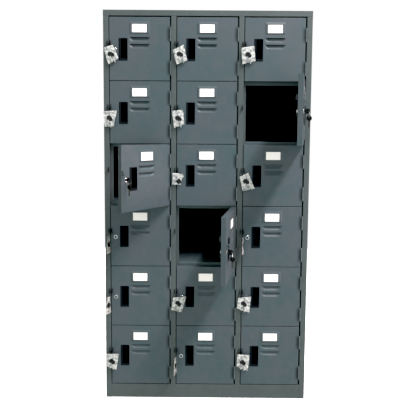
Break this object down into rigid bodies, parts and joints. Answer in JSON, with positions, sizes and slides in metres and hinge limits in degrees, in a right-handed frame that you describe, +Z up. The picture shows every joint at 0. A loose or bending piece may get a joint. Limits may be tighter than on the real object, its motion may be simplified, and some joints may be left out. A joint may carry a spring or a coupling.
{
  "type": "multi-door steel locker",
  "caption": "Free-standing folded sheet-steel locker with hinged compartment doors, each with a card holder, louvres, a recessed pull, a turning cam lock, padlock eyes and its keys.",
  "frame": {"origin": "on the floor, in the middle of the cabinet footprint, at the underside of the channel below the floor panel", "axes": "+X to the right across the front, +Y from the front to the back, +Z up"},
  "size_m": [0.9567, 0.7299, 1.829],
  "materials": {
    "cabinet_paint": "dark grey powder coat, satin",
    "inside_paint": "dark grey powder coat, satin, unlit inside",
    "door_paint": "dark blue-grey powder coat, satin",
    "hinge_paint": "painted over with the cabinet",
    "eye_paint": "painted steel, worn by padlocks",
    "lock_chrome": "bright chromed zinc",
    "key": "black moulded heads on nickel-plated blades",
    "zinc": "zinc-plated"
  },
  "bodies": {
    "cabinet": {"back_panel": "inside_paint", "base_cross_rail": "inside_paint", "bottom_panel": "inside_paint", "front_post_1": "cabinet_paint", "front_post_2": "cabinet_paint", "hinge_frame_leaves": "hinge_paint", "hinge_pins": "zinc", "padlock_eyes": "eye_paint", "partition_1": "inside_paint", "partition_2": "inside_paint", "plinth_front": "cabinet_paint", "plinth_rear": "inside_paint", "shelf_rivets": "zinc", "shelves_column_1": "inside_paint", "shelves_column_2": "inside_paint", "shelves_column_3": "inside_paint", "side_panel_left": "cabinet_paint", "side_panel_right": "cabinet_paint", "top_panel": "cabinet_paint"},
    "door_r1c1": {"door_r1c1": "door_paint"},
    "lock_r1c1": {"lock_r1c1": "lock_chrome"},
    "door_r1c2": {"door_r1c2": "door_paint"},
    "lock_r1c2": {"lock_r1c2": "lock_chrome"},
    "door_r1c3": {"door_r1c3": "door_paint"},
    "lock_r1c3": {"lock_r1c3": "lock_chrome"},
    "door_r2c1": {"door_r2c1": "door_paint"},
    "lock_r2c1": {"lock_r2c1": "lock_chrome"},
    "door_r2c2": {"door_r2c2": "door_paint"},
    "lock_r2c2": {"lock_r2c2": "lock_chrome"},
    "door_r2c3": {"door_r2c3": "door_paint"},
    "lock_r2c3": {"lock_r2c3": "lock_chrome", "keys_r2c3": "key"},
    "door_r3c1": {"door_r3c1": "door_paint"},
    "lock_r3c1": {"lock_r3c1": "lock_chrome", "keys_r3c1": "key"},
    "door_r3c2": {"door_r3c2": "door_paint"},
    "lock_r3c2": {"lock_r3c2": "lock_chrome"},
    "door_r3c3": {"door_r3c3": "door_paint"},
    "lock_r3c3": {"lock_r3c3": "lock_chrome"},
    "door_r4c1": {"door_r4c1": "door_paint"},
    "lock_r4c1": {"lock_r4c1": "lock_chrome"},
    "door_r4c2": {"door_r4c2": "door_paint"},
    "lock_r4c2": {"lock_r4c2": "lock_chrome", "keys_r4c2": "key"},
    "door_r4c3": {"door_r4c3": "door_paint"},
    "lock_r4c3": {"lock_r4c3": "lock_chrome"},
    "door_r5c1": {"door_r5c1": "door_paint"},
    "lock_r5c1": {"lock_r5c1": "lock_chrome"},
    "door_r5c2": {"door_r5c2": "door_paint"},
    "lock_r5c2": {"lock_r5c2": "lock_chrome"},
    "door_r5c3": {"door_r5c3": "door_paint"},
    "lock_r5c3": {"lock_r5c3": "lock_chrome"},
    "door_r6c1": {"door_r6c1": "door_paint"},
    "lock_r6c1": {"lock_r6c1": "lock_chrome"},
    "door_r6c2": {"door_r6c2": "door_paint"},
    "lock_r6c2": {"lock_r6c2": "lock_chrome"},
    "door_r6c3": {"door_r6c3": "door_paint"},
    "lock_r6c3": {"lock_r6c3": "lock_chrome"}
  },
  "joints": [
    {"name": "hinge_r1c1", "type": "hinge", "parent": "cabinet", "child": "door_r1c1", "pos_m": [-0.1695, -0.2285, 1.65475], "axis": [0, 0, 1], "range_deg": [0, 105]},
    {"name": "turn_r1c1", "type": "hinge", "parent": "door_r1c1", "child": "lock_r1c1", "pos_m": [-0.4255, -0.2285, 1.65025], "axis": [0, 1, 0], "range_deg": [0, 90]},
    {"name": "hinge_r1c2", "type": "hinge", "parent": "cabinet", "child": "door_r1c2", "pos_m": [0.1395, -0.2285, 1.65475], "axis": [0, 0, 1], "range_deg": [0, 105]},
    {"name": "turn_r1c2", "type": "hinge", "parent": "door_r1c2", "child": "lock_r1c2", "pos_m": [-0.1165, -0.2285, 1.65025], "axis": [0, 1, 0], "range_deg": [0, 90]},
    {"name": "hinge_r1c3", "type": "hinge", "parent": "cabinet", "child": "door_r1c3", "pos_m": [0.4485, -0.2285, 1.65475], "axis": [0, 0, 1], "range_deg": [0, 105]},
    {"name": "turn_r1c3", "type": "hinge", "parent": "door_r1c3", "child": "lock_r1c3", "pos_m": [0.1925, -0.2285, 1.65025], "axis": [0, 1, 0], "range_deg": [0, 90]},
    {"name": "hinge_r2c1", "type": "hinge", "parent": "cabinet", "child": "door_r2c1", "pos_m": [-0.1695, -0.2285, 1.36625], "axis": [0, 0, 1], "range_deg": [0, 105]},
    {"name": "turn_r2c1", "type": "hinge", "parent": "door_r2c1", "child": "lock_r2c1", "pos_m": [-0.4255, -0.2285, 1.36175], "axis": [0, 1, 0], "range_deg": [0, 90]},
    {"name": "hinge_r2c2", "type": "hinge", "parent": "cabinet", "child": "door_r2c2", "pos_m": [0.1395, -0.2285, 1.36625], "axis": [0, 0, 1], "range_deg": [0, 105]},
    {"name": "turn_r2c2", "type": "hinge", "parent": "door_r2c2", "child": "lock_r2c2", "pos_m": [-0.1165, -0.2285, 1.36175], "axis": [0, 1, 0], "range_deg": [0, 90]},
    {"name": "hinge_r2c3", "type": "hinge", "parent": "cabinet", "child": "door_r2c3", "pos_m": [0.4485, -0.2285, 1.36625], "axis": [0, 0, 1], "range_deg": [-76, 29]},
    {"name": "turn_r2c3", "type": "hinge", "parent": "door_r2c3", "child": "lock_r2c3", "pos_m": [0.38657, -0.4769, 1.36175], "axis": [-0.9703, 0.2419, 0], "range_deg": [0, 90]},
    {"name": "hinge_r3c1", "type": "hinge", "parent": "cabinet", "child": "door_r3c1", "pos_m": [-0.1695, -0.2285, 1.07775], "axis": [0, 0, 1], "range_deg": [-48.5, 56.5]},
    {"name": "turn_r3c1", "type": "hinge", "parent": "door_r3c1", "child": "lock_r3c1", "pos_m": [-0.33913, -0.42023, 1.07325], "axis": [-0.749, 0.6626, 0], "range_deg": [0, 90]},
    {"name": "hinge_r3c2", "type": "hinge", "parent": "cabinet", "child": "door_r3c2", "pos_m": [0.1395, -0.2285, 1.07775], "axis": [0, 0, 1], "range_deg": [0, 105]},
    {"name": "turn_r3c2", "type": "hinge", "parent": "door_r3c2", "child": "lock_r3c2", "pos_m": [-0.1165, -0.2285, 1.07325], "axis": [0, 1, 0], "range_deg": [0, 90]},
    {"name": "hinge_r3c3", "type": "hinge", "parent": "cabinet", "child": "door_r3c3", "pos_m": [0.4485, -0.2285, 1.07775], "axis": [0, 0, 1], "range_deg": [0, 105]},
    {"name": "turn_r3c3", "type": "hinge", "parent": "door_r3c3", "child": "lock_r3c3", "pos_m": [0.1925, -0.2285, 1.07325], "axis": [0, 1, 0], "range_deg": [0, 90]},
    {"name": "hinge_r4c1", "type": "hinge", "parent": "cabinet", "child": "door_r4c1", "pos_m": [-0.1695, -0.2285, 0.78925], "axis": [0, 0, 1], "range_deg": [0, 105]},
    {"name": "turn_r4c1", "type": "hinge", "parent": "door_r4c1", "child": "lock_r4c1", "pos_m": [-0.4255, -0.2285, 0.78475], "axis": [0, 1, 0], "range_deg": [0, 90]},
    {"name": "hinge_r4c2", "type": "hinge", "parent": "cabinet", "child": "door_r4c2", "pos_m": [0.1395, -0.2285, 0.78925], "axis": [0, 0, 1], "range_deg": [-78, 27]},
    {"name": "turn_r4c2", "type": "hinge", "parent": "door_r4c2", "child": "lock_r4c2", "pos_m": [0.08628, -0.47891, 0.78475], "axis": [-0.9781, 0.2079, 0], "range_deg": [0, 90]},
    {"name": "hinge_r4c3", "type": "hinge", "parent": "cabinet", "child": "door_r4c3", "pos_m": [0.4485, -0.2285, 0.78925], "axis": [0, 0, 1], "range_deg": [0, 105]},
    {"name": "turn_r4c3", "type": "hinge", "parent": "door_r4c3", "child": "lock_r4c3", "pos_m": [0.1925, -0.2285, 0.78475], "axis": [0, 1, 0], "range_deg": [0, 90]},
    {"name": "hinge_r5c1", "type": "hinge", "parent": "cabinet", "child": "door_r5c1", "pos_m": [-0.1695, -0.2285, 0.50075], "axis": [0, 0, 1], "range_deg": [0, 105]},
    {"name": "turn_r5c1", "type": "hinge", "parent": "door_r5c1", "child": "lock_r5c1", "pos_m": [-0.4255, -0.2285, 0.49625], "axis": [0, 1, 0], "range_deg": [0, 90]},
    {"name": "hinge_r5c2", "type": "hinge", "parent": "cabinet", "child": "door_r5c2", "pos_m": [0.1395, -0.2285, 0.50075], "axis": [0, 0, 1], "range_deg": [0, 105]},
    {"name": "turn_r5c2", "type": "hinge", "parent": "door_r5c2", "child": "lock_r5c2", "pos_m": [-0.1165, -0.2285, 0.49625], "axis": [0, 1, 0], "range_deg": [0, 90]},
    {"name": "hinge_r5c3", "type": "hinge", "parent": "cabinet", "child": "door_r5c3", "pos_m": [0.4485, -0.2285, 0.50075], "axis": [0, 0, 1], "range_deg": [0, 105]},
    {"name": "turn_r5c3", "type": "hinge", "parent": "door_r5c3", "child": "lock_r5c3", "pos_m": [0.1925, -0.2285, 0.49625], "axis": [0, 1, 0], "range_deg": [0, 90]},
    {"name": "hinge_r6c1", "type": "hinge", "parent": "cabinet", "child": "door_r6c1", "pos_m": [-0.1695, -0.2285, 0.21225], "axis": [0, 0, 1], "range_deg": [0, 105]},
    {"name": "turn_r6c1", "type": "hinge", "parent": "door_r6c1", "child": "lock_r6c1", "pos_m": [-0.4255, -0.2285, 0.20775], "axis": [0, 1, 0], "range_deg": [0, 90]},
    {"name": "hinge_r6c2", "type": "hinge", "parent": "cabinet", "child": "door_r6c2", "pos_m": [0.1395, -0.2285, 0.21225], "axis": [0, 0, 1], "range_deg": [0, 105]},
    {"name": "turn_r6c2", "type": "hinge", "parent": "door_r6c2", "child": "lock_r6c2", "pos_m": [-0.1165, -0.2285, 0.20775], "axis": [0, 1, 0], "range_deg": [0, 90]},
    {"name": "hinge_r6c3", "type": "hinge", "parent": "cabinet", "child": "door_r6c3", "pos_m": [0.4485, -0.2285, 0.21225], "axis": [0, 0, 1], "range_deg": [0, 105]},
    {"name": "turn_r6c3", "type": "hinge", "parent": "door_r6c3", "child": "lock_r6c3", "pos_m": [0.1925, -0.2285, 0.20775], "axis": [0, 1, 0], "range_deg": [0, 90]}
  ]
}
